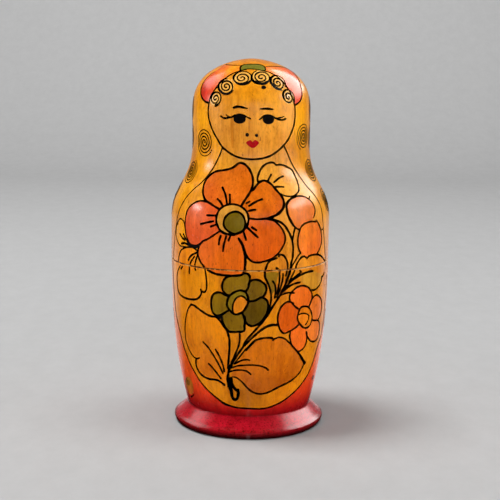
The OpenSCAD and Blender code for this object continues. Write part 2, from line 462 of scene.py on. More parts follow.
turn = Matrix.Rotation(pi / 2 - PITCH, 4, "X") @ Matrix.Rotation(ROLL, 4, "Z")
TURN = np.array(turn.to_3x3())
cam_data = bpy.data.cameras.new("camera")
cam_data.sensor_width = SENSOR
cam_data.lens = SENSOR * FOCAL_PX / PHOTO
cam_data.clip_start, cam_data.clip_end = 0.02, 50
cam = bpy.data.objects.new("camera", cam_data)
cam.matrix_world = Matrix.Translation(Vector(EYE) * 0.001) @ turn
scene.collection.objects.link(cam)
scene.camera = cam


def outside_by(p):
    """How far points stand off the outer doll; below zero inside it."""
    z = p[..., 2] - FOOT_H
    return np.hypot(p[..., 0], p[..., 1]) - np.where((z < 0) | (z > FIGURE_H), 0.0, skin_r(z))


def cast(px):
    """Pixels of the photograph on the outside of the doll: angle from the front and distance along the profile."""
    x, y = (np.asarray(px, float) - PHOTO / 2).T / FOCAL_PX
    d = np.stack([x, -y, -np.ones(len(x))], 1) @ TURN.T
    ts = np.linspace(NEAR, FAR, 1200)
    gap = outside_by(EYE + d[:, None, :] * ts[None, :, None])
    hit = gap < 0
    first = np.where(hit.any(1), hit.argmax(1), gap.argmin(1))
    low, high = ts[np.maximum(first - 1, 0)], ts[first]
    for _ in range(24):
        mid = (low + high) / 2
        inside = outside_by(EYE + d * mid[:, None]) < 0
        high = np.where(inside, mid, high)
        low = np.where(inside, low, mid)
    q = EYE + d * high[:, None]
    return np.stack([np.arctan2(q[:, 0], -q[:, 1]), arc_at(q[:, 2] - FOOT_H)], 1)


def on_skin(ts, lift):
    """Points and normals for (angle, distance along the profile) pairs, in the outer doll's size above its foot."""
    a, s = ts.T
    r, z = arc_r(s), np.interp(s, ARC, SKIN_Z)
    tr, tz = np.interp(s, ARC, SLOPE[:, 0]), np.interp(s, ARC, SLOPE[:, 1])
    n = np.hypot(tr, tz)
    nr, nz = tz / n, -tr / n
    normal = np.stack([nr * np.sin(a), -nr * np.cos(a), nz], 1)
    return np.stack([r * np.sin(a), -r * np.cos(a), z], 1) + normal * lift, normal


# ---------- pen and brush: lines and shapes through pixels of the photograph, given as "x,y x,y ..." ----------
MM = 0.385  # millimetres on the front of the doll to a pixel of the photograph
BOLD = 1.5  # the ink spreads a little beyond the nib
PEN_STEP, DAB_STEP = 0.7, 1.0  # pixels between the points of a smooth line and of an outline
INK_LAYER = 5
ALL, BIG = (0, 6), (0, 3)  # first and last doll that carry a line; fine ones are only on the bigger four
lines, fills = [], []


def numbers(text):
    return np.array([[float(v) for v in pair.split(",")] for pair in text.split()])


def back_along(text):
    return " ".join(reversed(text.split()))


def spline(p, step, closed=False):
    """A smooth line through the points, in even steps."""
    if closed:
        q = np.concatenate([p[-1:], p, p[:2]])
    else:
        q = np.concatenate([2 * p[:1] - p[1:2], p, 2 * p[-1:] - p[-2:-1]])
    out = []
    for a, b, c, d in zip(q, q[1:], q[2:], q[3:]):
        n = max(2, int(np.hypot(*(c - b)) / step) + 1)
        t = np.linspace(0, 1, n, endpoint=False)[:, None]
        bend, twist = 2 * a - 5 * b + 4 * c - d, 3 * b - a - 3 * c + d
        out.append(0.5 * (2 * b + (c - a) * t + bend * t**2 + twist * t**3))
    if not closed:
        out.append(p[-1:])
    return np.concatenate(out)


def pen(width, text, closed=False, fine=False):
    """A pen line; width in pixels, one value or several along the line."""
    q = spline(numbers(text), PEN_STEP, closed)
    if closed:
        q = np.concatenate([q, q[:1]])
    pen_on(width, cast(q), BIG if fine else ALL)


def pen_on(width, ts, dolls=ALL):
    """A pen line straight on the surface."""
    lines.append((ts, np.atleast_1d(np.array(width, float)) * MM * BOLD, dolls))


def dab(*parts, layer=1, ink=False, fine=False):
    """A filled shape with a smooth outline; a higher layer lies over a lower one. First come the pieces of its outline,
    then its tones: one (r, g, b), or several (x, y, r, g, b) that say the colour at a pixel."""
    outline = numbers(" ".join(p for p in parts if isinstance(p, str)))
    tones = [(cast([t[:-3]])[0] if len(t) == 5 else None, lin(*t[-3:])) for t in parts if not isinstance(t, str)]
    fills.append((cast(spline(outline, DAB_STEP, True)), tones, layer, ink, fine))


def blot(text, fine=False):
    """A filled shape of ink."""
    dab(text, (0, 0, 0), layer=INK_LAYER, ink=True, fine=fine)


def tilted(cx, cy, x, y, tilt):
    """Points beside a centre, turned round it by an angle in degrees."""
    c, s = cos(radians(tilt)), sin(radians(tilt))
    return np.stack([cx + c * x - s * y, cy + s * x + c * y], 1)


def oval(cx, cy, rx, ry, tilt=0.0, n=14):
    t = np.arange(n) * 2 * pi / n
    return " ".join(f"{x:.3f},{y:.3f}" for x, y in tilted(cx, cy, rx * np.cos(t), ry * np.sin(t), tilt))


def curl(cx, cy, rx, ry, tilt, turns, phase, width=1.3):
    """A spiral curl of hair drawn from the middle out, heavier at the bottom of each turn, over a paler oval."""
    dab(oval(cx, cy, rx, ry, tilt), (228, 168, 74), layer=2)
    n = int(turns * 16)
    i = np.arange(n + 1) / n
    f, t = 0.10 + 0.90 * np.minimum(i * 1.12, 1), radians(phase) + 2 * pi * turns * i
    px = tilted(cx, cy, rx * f * np.cos(t), ry * f * np.sin(t), tilt)
    down = np.clip((px[:, 1] - cy) / (f * ry), 0, 1)
    pen_on(width * (0.8 + 0.8 * down * f), cast(px))


def side_curl(angle, s0, radius):
    """A spiral on the kerchief, at an angle from the front in degrees and a distance along the profile.
    The smaller the doll, the fewer its turns, because the pen stays the same."""
    r0 = float(arc_r(s0))
    for turns, dolls in ((4.0, (0, 0)), (3.0, (1, 1)), (2.2, (2, 3)), (1.5, (4, 6))):
        i = np.linspace(0, 1, int(turns * 28) + 1)
        f = radius * (0.08 + 0.92 * i)
        t = 2 * pi * turns * i + angle
        ts = np.stack([radians(angle) + f * np.cos(t) / r0, s0 + 1.1 * f * np.sin(t)], 1)
        pen_on([1.15, 0.8, 0.55], ts, dolls)


# ---------- outlines that both the dye and the ink follow ----------
FACE = (
    "209.2,102.5 208.4,108 208.3,113 209,119 211,126 214,133 218,140 222,146.5 227,151 233,155 240,157.8 247,159 "
    "254,159.3 262,158.5 270,156 277,151.5 283,146 288,139.5 291.5,132 294,124 295,116 295,110 294.5,104.5"
)
HAIR_L_SIDE = "209.5,102.8 209.9,99 212,94 217,87 222,81.5 228,76.5 234,73 240,71"
HAIR_R_SIDE = "268,72 272,73.6 277,76.6 282,81 286,86 290,92 292.5,98 294.3,104.8"
HAIR_L, HAIR_R = HAIR_L_SIDE + " 246,69.8", "258,70 263,70.8 " + HAIR_R_SIDE
BEAN = (
    "241,70.6 240.2,68.3 241.3,66 244,64.8 248,64.3 254,64.2 259,64.5 262.8,65.6 265,67.6 265.6,69.6 264.2,70.6 "
    "260,70.2 255,69.4 250,69 246,69.3 243,70.2"
)
PETAL_HEAD_L = "209.2,103 205.5,101.7 202.5,98.5 201,94 201.2,89 202.8,84 206,79 210,75 215,71.5"
PETAL_HEAD_R = "288,69 293,72.3 297,77 299.5,82 301,88 301.9,93 301.4,98 299,102.3 295.5,104.8"
SHAWL_L = (
    "222.6,147.6 221.5,150.5 220.3,154 218,159 215.5,164 213,168.5 210.5,172 207.5,176 204,180 200,184 195.5,187.7 "
    "191,192 187.5,196 184,201 181.5,205.5 179.5,210 178,215 177,220 175.2,235 174,250 173.3,262 173,266"
)
SHAWL_R = (
    "283.8,145.6 287,152.5 290,160 293.5,167 297.5,173.5 302,180 306,185.5 310,190 314.5,195.5 318,201 320.5,206.5 "
    "322,213 322.8,220 323.2,228 323.8,236 324.4,245 325,255 325.6,263 326,268"
)
PETAL_1 = (
    "209.5,203 206,200.5 204,197 203,192 203.5,187 205,182 208,177.5 211.5,174 216,171.5 221,170.5 226,169.8 "
    "230,168.8 234,167 237,164.5 239.5,163 242,163 245,164.5 248.5,168 251,172.5 252.6,177 253,181.5 252.5,186 "
    "251,190.5 248,195.5 245,200 241.5,205.5"
)
PETAL_2 = (
    "209,203 205.5,201.5 201.5,200.8 197.5,201.5 193.5,203.5 190,206.5 187.5,210.5 186,216 185.3,221 185.2,225 "
    "185.5,230 186.3,235 188,240 190,243.5 193,245.3 197,245.3 200.5,243.5 203,241 207,239.5 211,237 215,234.3 "
    "218.5,232 220.5,231"
)
PETAL_3 = (
    "251,191 253.5,189.5 256,186 259,182.5 262,181 265,180.7 268,182 271.5,184.5 274.5,188 278,192 281,195.5 "
    "283,199 284,203 283.5,207 281.5,210.5 278.5,213.5 274.5,216 270,217.7 264,218.8 258,219.3 250.5,218.6"
)
PETAL_4 = (
    "203,241 200.5,244 198.5,248.5 198,253 199,258 201,262.5 204,266.5 208,270 212,272.3 216,274 222,275 230,275.8 "
    "238,275.5 242,274.5 244.5,271.5 245,266 245.3,260 244.8,254 244,249 242,244 239,239"
)
PETAL_5 = (
    "250.5,218.6 258,219.3 264,219 270,219.6 275,221.5 279,225 282,229 284.3,233.5 285.2,238 284.5,243 282,248 "
    "279,252.5 275,256.5 270,259.5 264,261.5 259,262.5 254,262.2 250,260 247,256.5 244,249"
)
PALE_PETAL = (
    "257.8,181.5 257.5,178 259,173 261,169 263.5,165.8 267,163.5 271,162.5 274,163 276,165 280,164.6 284,165.5 "
    "288,167.5 292,170 294,174 296.5,179.5 298.3,185 298.8,190 297,193.5 293.5,196 288,196.3 284,195.5 281,194"
)
BUD_1 = (
    "293,225 290.5,220.5 288.2,216 287,211 286.5,206 287.5,202.5 290,199.5 293,197.5 297,196.3 301,196 305,197 "
    "309,199.5 312,202.5 314.3,207 315,211 314.3,215 313.5,217.5"
)
BUD_2 = (
    "300.5,253 299,250 298,246 297.8,240 298.5,235 299.8,230 301,227 304,224 308,222.3 312,221.4 315.5,221.6 "
    "316,220.3 318,223 320,228 321.3,234 321.5,240 320.8,245 319,250 317,253.3"
)
RING = (
    "232.5,204.2 238,205.2 243,208 246.5,211.5 248.3,216 248.4,221 247,226 244,229.8 239.5,232.8 234,234.6 "
    "229,234.4 224,233 220,230 217.5,225.5 216.3,220.5 217,215 219.3,210 223.5,206.5 228,204.8"
)
CENTRE = (
    "235,211.7 239.5,212.7 242.8,215.5 244.6,219.5 245.5,224 244,229 240,232.3 235,233.8 231,232.8 228,231 "
    "225.5,228.5 223.8,225 224,220.5 226,216.5 229.5,213.3"
)
SMALL_A = "178,221.5 176.7,227 176.2,233 177,239 178.5,243 180,245.3 183,246.5 187,247"
SMALL_B = "178.8,261.5 179,257 180.3,252 182,249.5 185,247.7 190,247 194,248 197,250.5 198,252.5"
SMALL_C = (
    "180.5,265.5 178.5,269.5 177.4,274 177.2,280 177.5,285 178.3,290 179.8,294 183,296.7 187,298.6 191.5,299.3 "
    "196,299.2 199,297.6 201,294.5 202,291.8 204.5,292 206.2,290 206.8,286 206.5,280 205.8,274 204.8,268"
)
APRON = (
    "326.3,275 326.2,285 325.5,295 324.6,305 323.8,315 322.5,325 321,335 318,344 315.5,353 313,361 310,369 "
    "307,375.5 303,381.5 298.5,387.5 293,393 287,398 281,402 275,405 269,407.3 262,408.7 254,408.7 246,408.3 "
    "238,407.7 231,406 224,403 217.5,398.5 211,393 205,387 199.5,380 194.5,371.5 190,363 186.5,354 183.5,345 "
    "181,335 178.5,325 176.5,315 175.3,305 174.5,295 173.9,285 173.4,275 173,265"
)
GREEN_RING = (
    "227,303 228,298.5 230.5,295 234,292.5 238,290.8 242,290.6 245.5,292.3 247.6,296 248.3,300.5 247.5,304.5 "
    "245.5,308.3 242.5,312 238.5,314 235,314.3 231.5,312 228.5,308.5 227,305"
)
GREEN_DISK = "246.8,300.5 244.5,297.5 241,296 237,297.5 234.3,301 232.8,305.5 232.6,309.5 233.5,313"
GREEN_1 = "232,275.8 227,277 224,280 222.3,284 222.2,288 223.5,291.5 226,294.3 229,295.5"
GREEN_1R = "244.5,273.5 247.5,273.8 249.5,276 250,280 249,284 248,288 246,291"
GREEN_2 = (
    "229,295.5 226,295.3 222.5,293.5 219,292.3 215.5,293 213,295 211.5,299 211.2,304 211.8,309 213.3,313 216,315.3 "
    "219,315.3 222,314.5 225,312.5 228,310.8"
)
GREEN_3 = (
    "221.5,316 222.5,321 224.5,326 227.5,329.8 229,331.5 233,332 238,331.8 243.8,331 244.5,326 244.8,321 "
    "243.8,316.5 242,312.5"
)
GREEN_4 = (
    "250.5,281 253.5,279.8 258,280 262,282 265.5,285 266.5,289 265.5,293 263,296.8 259,298.5 255,300.5 250,301.3 "
    "247.5,300"
)
GREEN_5 = (
    "260.5,297.3 264.5,298.5 267.5,301.5 268.3,306 267.5,311 265.8,315.5 262.5,320 259,323.5 255,325.5 251.5,326 "
    "248,324.5 245.5,321.5 244.5,317"
)
LEAF_L = (
    "191,304.5 188.5,308.5 187,313 185.8,319 185.3,325 185.2,330 185.6,337 186.5,342 187.5,345 189.5,350 192,354.5 "
    "194.5,357.3 197,358.6 199.5,357.8"
)
LEAF_L_LOW = (
    "196.3,359 196,363 197,367.5 199,371.5 202,375 206,377.7 210,379 214,379.5 218,380.3 221.5,382.5 224.5,384.8"
)
LEAF_L_TOP = (
    "191,304.5 194,305.3 198,308.3 203,312 208,315 212,316.4 216,317 219.5,320 222.5,324.5 225.5,328.5 227.8,333 "
    "229.3,339 229.5,343 229.3,352 228.5,361 228,368"
)
LEAF_R_TOP_1 = "246,350 250,346 254.5,341 259,339 264,338 269,337.8 272.5,338.3 273,340"
LEAF_R_TOP_2 = "274.5,339 278,337.4 282,337.7 286,339.7 290,343.5 294.5,348.5 298.5,353 301.5,358 304.5,363"
LEAF_R_LOW = (
    "232,377 235,377 239,379.3 243,383 247,387.5 251,391 256,393.3 261,393.9 266,393 271,391 276,388.3 281,385.8 "
    "287,383 292.5,379.5 297.5,375 301,370 303.5,364.5"
)
O_1 = (
    "290,302 289.5,298 290.3,294 291,293.5 293,290.5 297,287.3 301,285.8 305,286 308.5,287.7 311,291.5 312,296 "
    "311.3,300.5 309.5,305 308.7,307"
)
O_2 = (
    "293.5,303.5 290.5,302 287,302 283.5,304.3 280.5,308 278.5,313 277.6,318 278,323.5 279.5,328.5 282,332.3 "
    "284.5,333.3 288,332 292,330 295.5,327.5 298.8,324.5"
)
O_3L = "290.3,332.5 289.6,336 290.3,340.5 291.5,345"
O_3R = "306.2,332 306.7,336 306.3,341 305,345.5 302.5,349 299.5,351 297.5,351.5"
O_4 = (
    "306.5,332.5 307.5,337 309.5,340 312,341.5 315,340.8 317.5,337.5 318.8,332 319.2,326 318.9,322 317.5,320.3 "
    "314,320.3 311.5,320"
)
O_5 = "309.5,305 311,300.5 313.5,296.8 316.5,295 319.5,296.8 321.3,301 321.5,306 320.8,312 319.3,317 317.8,319.7"
O_RING = (
    "300,308.5 302,306.8 305,306.3 308,307 310.3,310 311.8,314.5 311.8,319 310.5,323.5 308.3,326.8 305.3,328 "
    "302.5,327 300.3,324.5 298.3,321.5 297.4,317.5 298.3,313"
)
O_DISK = "299,314.5 302,313.4 305.5,313.6 308.3,315 308.6,318 307.3,321.5 305.3,324.5"

# ---------- dye, under the ink ----------
# face, front of the shawl with the shade of the nose, and apron
dab(FACE, back_along(HAIR_R), back_along(HAIR_L), (250, 92, 218, 138, 16), (226, 130, 218, 142, 44),
    (280, 128, 234, 156, 44), (252, 153, 210, 132, 30), layer=0)
dab(SHAWL_L, "200,276 250,282 300,277", back_along(SHAWL_R), "277,151.5 262,158.5 247,159 233,155",
    (250, 163, 204, 136, 40), (204, 186, 230, 152, 30), (300, 184, 238, 164, 60), (254, 268, 204, 119, 14),
    (182, 250, 222, 132, 16), (318, 250, 222, 134, 18), layer=0)
dab("230.6,119 233,118.4 233.6,128 234.2,140 233.6,147 231.6,147 231,136", (198, 120, 26))
dab(APRON, "170,262 200,270 230,274 260,274.5 290,272.5 329,264",
    (250, 300, 204, 120, 2), (250, 398, 166, 92, 1), (184, 306, 214, 126, 2), (190, 282, 220, 134, 2),
    (318, 330, 210, 124, 3), (286, 392, 220, 128, 1), (205, 385, 216, 128, 2), layer=0)
# petals and bud on the head
dab(PETAL_HEAD_L, "220,68 226,64.6 240,65.6 241,70.6", back_along(HAIR_L_SIDE),
    (232, 68, 240, 148, 20), (220, 73, 236, 120, 34), (213, 80, 206, 50, 26), (205, 93, 196, 32, 24))
dab(PETAL_HEAD_R, back_along(HAIR_R_SIDE), "265.6,69.6 266,66.7 277,66.6",
    (272, 69, 240, 130, 40), (296, 88, 232, 92, 44), (298, 100, 226, 72, 40))
dab(BEAN, (112, 108, 28))
# big flower and the buds beside it
dab(PETAL_1, "238,205.2 232.5,204.2 228,204.8 223.5,206.5 219,209 214,206",
    (228, 180, 206, 103, 21), (212, 195, 210, 95, 24), (246, 180, 204, 98, 12))
dab(PETAL_2, "217.5,225.5 216.3,220.5 217,215 219.3,210",
    (196, 213, 218, 98, 50), (192, 236, 214, 80, 30), (212, 222, 216, 86, 26))
dab(PETAL_3, "248.3,216 246.5,211.5 243,208 241.5,205.5 245,200 248,195.5",
    (268, 195, 202, 99, 12), (276, 208, 206, 95, 10))
dab(PETAL_4, "240,232.8 234,234.6 229,234.4 224,233 220.5,231 218.5,232 215,234.3 211,237 207,239.5",
    (222, 260, 216, 98, 3), (206, 250, 222, 100, 26), (240, 262, 212, 92, 2))
dab(PETAL_5, "242,244 239,239 240,232.8 244,229.8 247,226 248.4,221",
    (268, 240, 210, 86, 2), (256, 256, 204, 80, 1), (278, 232, 216, 94, 3))
dab(RING, (200, 138, 48), layer=2)
dab(CENTRE, (108, 86, 1), layer=3)
dab(BUD_1, "308,226 299.5,230 296,228", (296, 204, 224, 124, 40), (304, 216, 218, 108, 16))
dab(BUD_2, "310,256 304,256.3", (304, 230, 232, 120, 24), (316, 246, 226, 104, 20))
dab(SMALL_A, "185.5,236 185,228 184.3,223 182.5,219.8 180.3,218.6", (236, 152, 14))
dab(SMALL_B, "196,262 196,270 186,270 180,268", (232, 134, 16))
# green flower and the leaves at the seam
dab(GREEN_1, "234,292.5 242,290.6", back_along(GREEN_1R), "238,275.5",
    (236, 282, 138, 100, 1), (246, 280, 122, 88, 1))
dab(GREEN_2, "227,303 228,298.5", (218, 300, 140, 104, 1), (222, 310, 116, 86, 1))
dab(GREEN_3, "238.5,314 231.5,312 228,310.8 222,314.5", (234, 324, 130, 94, 1), (226, 318, 112, 82, 1))
dab(GREEN_4, "247.6,296 246,291 248,288", (258, 290, 122, 90, 1), (250, 296, 108, 80, 1))
dab(GREEN_5, "242.5,312 247.5,304.5 248,300 255,300.5", (258, 312, 84, 60, 0), (264, 304, 100, 74, 1))
dab(GREEN_RING, (128, 102, 3), layer=2)
dab(GREEN_DISK, "235,314.3 238.5,314 242.5,312 245.5,308.3 247.5,304.5", (206, 116, 6), layer=3)
dab("265.2,273.5 265.6,278 267.3,282 269.3,287 270.8,293 272.5,294 274.5,290 276,284 277.5,278 278.5,273 272,272",
    (140, 102, 12))
dab("313,271 303,273.8 300,276 301,281 304,284 308,287.5 311.5,290 314.5,289.8 317.5,287.5 319.8,284 321.3,280 "
    "322,275", (198, 134, 28))
# big leaves
dab(LEAF_L, LEAF_L_LOW, "227,378", back_along(LEAF_L_TOP), (205, 335, 218, 126, 2), (215, 365, 206, 110, 2))
dab(LEAF_R_TOP_1, LEAF_R_TOP_2, back_along(LEAF_R_LOW), "233,370",
    (266, 362, 200, 104, 1), (262, 388, 170, 82, 1))
# orange flower
dab(O_1, "300,308.5 297,308 293.5,305", (226, 104, 18))
dab(O_2, "298.3,321.5 297.4,317.5 298.3,313 299.5,309.2 297,308", (200, 81, 2))
dab(O_3L, "294,349", back_along(O_3R), "305.3,328 302.5,327 300.3,324.5 298.8,324.5 295.5,327.5", (224, 98, 14))
dab(O_4, "310.5,323.5 308.3,326.8 306,329", (222, 112, 32))
dab(O_5, "311.8,319 311.8,314.5 310.3,310", (224, 114, 34))
dab(O_RING, (210, 112, 3), layer=2)
dab(O_DISK, "302.5,325.5 300.3,324.5 298.3,321.5 297.6,317.5", (228, 122, 8), layer=3)
# lips
dab("246,143 250.3,140 252.5,141.8 255.3,139.9 259,143.2 252.8,148.2", (160, 2, 6))

# ---------- ink: face and hair ----------
pen([1.1, 1.4, 1.2], APRON)
pen([0.6, 1.8, 1.6, 0.6], "217.5,398.7 221,401.6 225,404 229,405.6 234,407")
pen([1.2, 1.4, 1.0], HAIR_L)
pen([1.0, 1.3, 1.1], HAIR_R)
pen([1.3, 1.4, 1.3], FACE)
pen([1.5, 1.9, 0.7], "233.5,107.8 237,106.8 241,107 245,108 247.6,108.6")
pen([0.8, 1.7, 1.5, 0.9], "260.3,109 264,108.8 268,108.9 273,109.4")
pen([1.0, 1.5, 1.3], "250.5,118.8 248,117.6 245,116 240,114.3 235,115.6 232,117 229,117.6 225,118.2 "
    "222.5,117.4 220.8,116.1")
pen([0.7, 1.2], "226,114.5 228,116.3 230.5,117.5", fine=True)
pen([1.0, 1.5, 1.3], "259.3,119.6 261,118.4 264,116 267,115.1 271,116 274,117.6 277,118.8 280,119.7 "
    "283,119.8 285.5,118.8")
pen([0.7, 1.1], "283.8,116.6 281.5,117.4 279,117.7 276.5,118.6", fine=True)
for eye in ((239.7, 118.8, 6.2, 4.9), (268.4, 119.4, 5.7, 4.9)):
    blot(oval(*eye))
for nostril in ((247.2, 134.8, 1.7, 2.0), (256.6, 135.4, 1.6, 1.7)):
    blot(oval(*nostril), fine=True)
blot(oval(263.6, 87.5, 2.4, 1.8))
pen([1.3, 1.2, 0.7, 1.2], BEAN, closed=True)
pen([0.8, 1.1, 0.9], "225.6,64.6 229,65 233,65.2 240,65.6", fine=True)
pen([0.7, 0.9, 0.7], "266,66.7 271,66.4 277,66.6 283,67.2 288,69", fine=True)
pen([1.4, 1.3, 0.5], PETAL_HEAD_L)
pen([0.6, 1.0, 1.3], PETAL_HEAD_R)
for hair in ((215.6, 98.5, 5.4, 7.2, 14, 2.2, 0), (226.3, 86.5, 7.9, 7.7, 0, 2.6, 60),
             (241.9, 78.2, 9.9, 6.9, -5, 2.6, 200), (261.3, 77.5, 9.8, 7.2, 6, 2.6, 20),
             (277.6, 83, 8.8, 6.6, 42, 2.6, 120), (288.2, 97, 8.0, 5.6, 66, 2.2, 250)):
    curl(*hair)
blot("219.5,89.5 221.5,93.5 226,95.2 230.5,94 234,90 231.5,90.8 229,92.2 226,92.8 222.5,91.6")
blot("234.5,82 238,84.8 243,85.5 248,84 251.6,80 248.5,81 245.5,82.7 241,83 237.5,82.3")
blot("255,80.5 258.5,84 263,85.3 267.5,83.6 270,80 266.8,80.8 263,82.4 259.5,81.8")
blot("270.8,82 272.8,87 277,90 282.5,90.6 279.5,88.4 276,86.4 273.5,83.6")

# ---------- ink: shawl, flowers, leaves and stems ----------
pen([1.1, 0.9, 0.8], SHAWL_L)
pen([1.1, 0.9, 0.8], SHAWL_R)
pen([1.3, 1.8, 1.4], RING, closed=True)
pen(1.5, CENTRE, closed=True)
STROKES = (  # a width and the lines drawn with it
    # big flower
    (1.6, PETAL_1), (1.3, PETAL_2), ([1.5, 1.7, 2.0, 1.3], PETAL_3), ([1.4, 1.8, 1.8], PETAL_4),
    ([1.3, 1.3, 1.5], PETAL_5), ([1.4, 1.3, 1.1], PALE_PETAL), ([1.9, 1.7, 1.0, 1.2], BUD_1), (1.3, BUD_2),
    (1.5, "209.5,203 214,206 219,209", "222.5,187.5 224.5,192 226,197 227,204", "229.8,194.5 230,200 229.7,204",
     "217.5,199 220.5,202 223,206.5", "207,215.3 216.5,215.5", "201,224 207,222.5 213.5,221.2",
     "210.8,226.5 215.5,224.8"),
    (1.4, "246.5,203.3 249.5,201.5"),
    (1.5, "249,206 253,203.5 257.5,201 262,199.3", "248.5,211 252,210.2 255.5,209.8",
     "220.8,236 219.5,239.5 218.8,244.5", "226.3,236.3 225,240.5 223.8,245 223,251", "230.5,235.5 228.5,240.5",
     "243.5,231 244.5,235 246,240"),
    ([1.6, 2.0], "238.5,238.3 241.5,243.5 243.5,248.5 245,252.5 247,257"),
    (1.6, "247.3,227.5 252,232 257.8,237.3", "252,227.3 256.3,230.2"),
    (1.3, "271,174.5 269.5,177.5 268,180.5", "274,182.3 277.5,179.3 280,177.5 283,176.3",
     "275,187 279.5,186.7 283.5,187", "293,225 296,228 299.5,230"),
    (1.0, "309.5,196.5 309,199.5", "321.5,229.5 323,229"),
    (1.6, "268,218.8 274,219.8 279,221.5 283.5,224.5 287,229 290,234.5 292,240 293,246 293,252 292.5,258 291,264 "
     "290,270 288.5,275 286,281"),
    (1.4, "295,227.5 294,232 293,237 292.3,241"),
    (1.2, "300.5,252.8 298,256 295,261 292,266 290.5,270"),
    (1.4, "279,256.5 279,254.9 282,254.8 284.5,256.5 286.5,260 287.6,264 287.5,269 286,275",
     "277,258 271,260.3 268,263 266.3,267 265,272 264.8,276 266,280 268,284"),
    (1.4, "295.5,269 296.5,265 298.5,261 301,257.7 304,256.3 307,258 309,256 313,254.8 318,254.6 321.5,256.5 "
     "324,260 325.5,262"),
    (1.0, SMALL_A, "178,224 178.5,221 180.3,218.6 182.5,219.8 184.3,223 185,228"),
    (1.5, "180.2,234 182.3,237.5 185,240", "183.5,234 185,237.5 187,240"),
    (1.6, "181.5,243.5 184.5,243 188,244.5"),
    (1.2, SMALL_B),
    (1.5, "197.5,252.5 193,254.3 190,257 188.5,260"),
    (1.4, "194.5,256.5 191.5,261 189.8,265.5 189.5,270 189.3,273.5", "197.5,255 196,260 194.8,265.5 195.5,270"),
    ([1.0, 1.6, 1.2], SMALL_C),
    (1.4, "200.8,289.5 201.5,291.5"),
    (1.6, "181.3,268.5 182.5,266.5"),
    # green flower
    (1.6, GREEN_1, GREEN_1R, GREEN_2, GREEN_3, GREEN_4, GREEN_5),
    (1.2, GREEN_DISK),
    # big leaves
    (1.2, LEAF_L),
    (1.7, LEAF_L_LOW),
    (1.6, LEAF_L_TOP),
    (1.4, "203.2,342 208,347 213,354.5 217.5,362 221,369 223,373.3",
     "215.5,349.3 218.5,354.5 221.5,361 223.5,367 224.3,371.5", "208.8,363.8 212.5,367.5 216.5,372.5 221,378.5"),
    (1.6, LEAF_R_TOP_1),
    ([1.2, 1.2, 1.6, 2.6], LEAF_R_TOP_2),
    ([1.0, 1.5, 1.6, 1.3], LEAF_R_LOW),
    (1.1, "255,340 249,346 243,352.5 238,359 234.5,363.5"),
    (1.3, "234.5,363.8 239,361.5 243,360 247,359.6 249.5,360.3",
     "232,367.5 237,366 243,365.3 250,365 257,365.4 263,366.7 267,368.7 268.2,370.3",
     "230,371.5 235,370.3 241,370 246,371 249,372.8 250.8,374.3"),
    # stems
    ([1.3, 1.3, 1.5, 2.2, 2.2], "239.5,331.5 239.8,335 239.5,342 237.5,349 234.5,356 231.5,363 229.5,368 228.3,374 "
     "227.8,380 229,386 231,391 232,396"),
    (2.1, "230,380 231,387 231.6,392 232.3,397 234.8,399.8 237.4,398 238.3,393.5 238,389.5",
     "231,378 232,383 234,387.4 236.4,390.4"),
    (1.3, "279.5,270 279.5,276 279.2,283 278,289 276.5,294"),
    (1.4, "283,274 282.5,280 281,286 279,292 276.5,297"),
    (1.2, "287,270 285.8,276"),
    (1.6, "290.5,270 288.5,277 286,283 283,289 280,295 277,300 274,304.5 271,309.5 268,314.5 264,320 259.5,325.5 "
     "255,330.5 250.5,335.5 246,341 243,347 239,352.5 235.5,358 232.5,363 230,369"),
    (1.4, "264.8,272 265.2,277 267.3,282 269.3,287 270.8,293 271,299 270.3,305 269.3,310 268,314"),
    (1.3, "295.5,268 293.5,273 291.5,277 289,281.5", "299.5,270.5 301,272 297,275.3 293.5,278 290,281"),
    (1.6, "313,271 308,271.8 303,273.8 297,277 292,280.5 288.5,284 285,288"),
    (1.5, "300,282.3 295,283.5 290.5,285.5 286.5,288.5 283,291.5"),
    (1.3, "294,293 290.5,292.6 286.5,293 282,294.5 279,296.5", "272.8,281.3 274.5,284 275.5,288 275.3,293 274.7,298"),
    ([2.0, 1.4], "276.5,325 272,325 267,326.5 262,329.5 257.5,333 252.5,337.5 248,342 245,345.5"),
    (1.8, "276.5,268 279.5,271"),
    (1.4, "324,273 322.5,276.5 321.5,276 321.3,280 319.8,284 317.5,287.5 314.5,289.8 311.5,290"),
    # orange flower
    (1.4, O_1, "292,302.5 293.5,305 297,308 299.5,309.2", O_2, O_3L, O_3R, O_4, O_5),
    (1.1, O_DISK),
)
for width, *texts in STROKES:
    for text in texts:
        pen(width, text)
pen(1.6, GREEN_RING, closed=True)
pen(1.4, O_RING, closed=True)
blot("186.5,238 190,243.5 196,245.5 201,243 203,241 201,244.5 198,248 193,247.5 188,245")
blot("217.5,315.5 221,315 223,317.5 223.5,321 221,319.5 218.5,317.5")

# ---------- kerchief curls: those in the photograph, then staggered rows carried on round the back ----------
for seen, radius in (("204.4,142", 5.2), ("191.3,171.8", 4.8), ("303.4,136.6", 5.0), ("310,169.8", 4.8),
                     ("325.6,200", 4.8)):
    angle, s0 = cast(numbers(seen))[0]
    side_curl(degrees(angle), s0, radius)


def front_arc(y):
    """Distance along the profile of a row of the photograph, on the front of the doll."""
    return cast([(PHOTO / 2, y)])[0, 1]


side_curl(-87, front_arc(199), 4.8)
# a row of the photograph, how far above it the curls sit along the profile, and their angles from the front
for row, rise, angles in ((111, 0, (87, 118, 149, 180)), (140, 0, (86, 123, 161)), (171, 4, (104, 142, 180)),
                          (199, 4, (107, 135, 164)), (232, 7.5, (88, 118, 149, 180))):
    for angle in sorted({a * side for a in angles for side in (1, -1)} - {-180}):
        side_curl(angle, front_arc(row) + rise, 5.0)

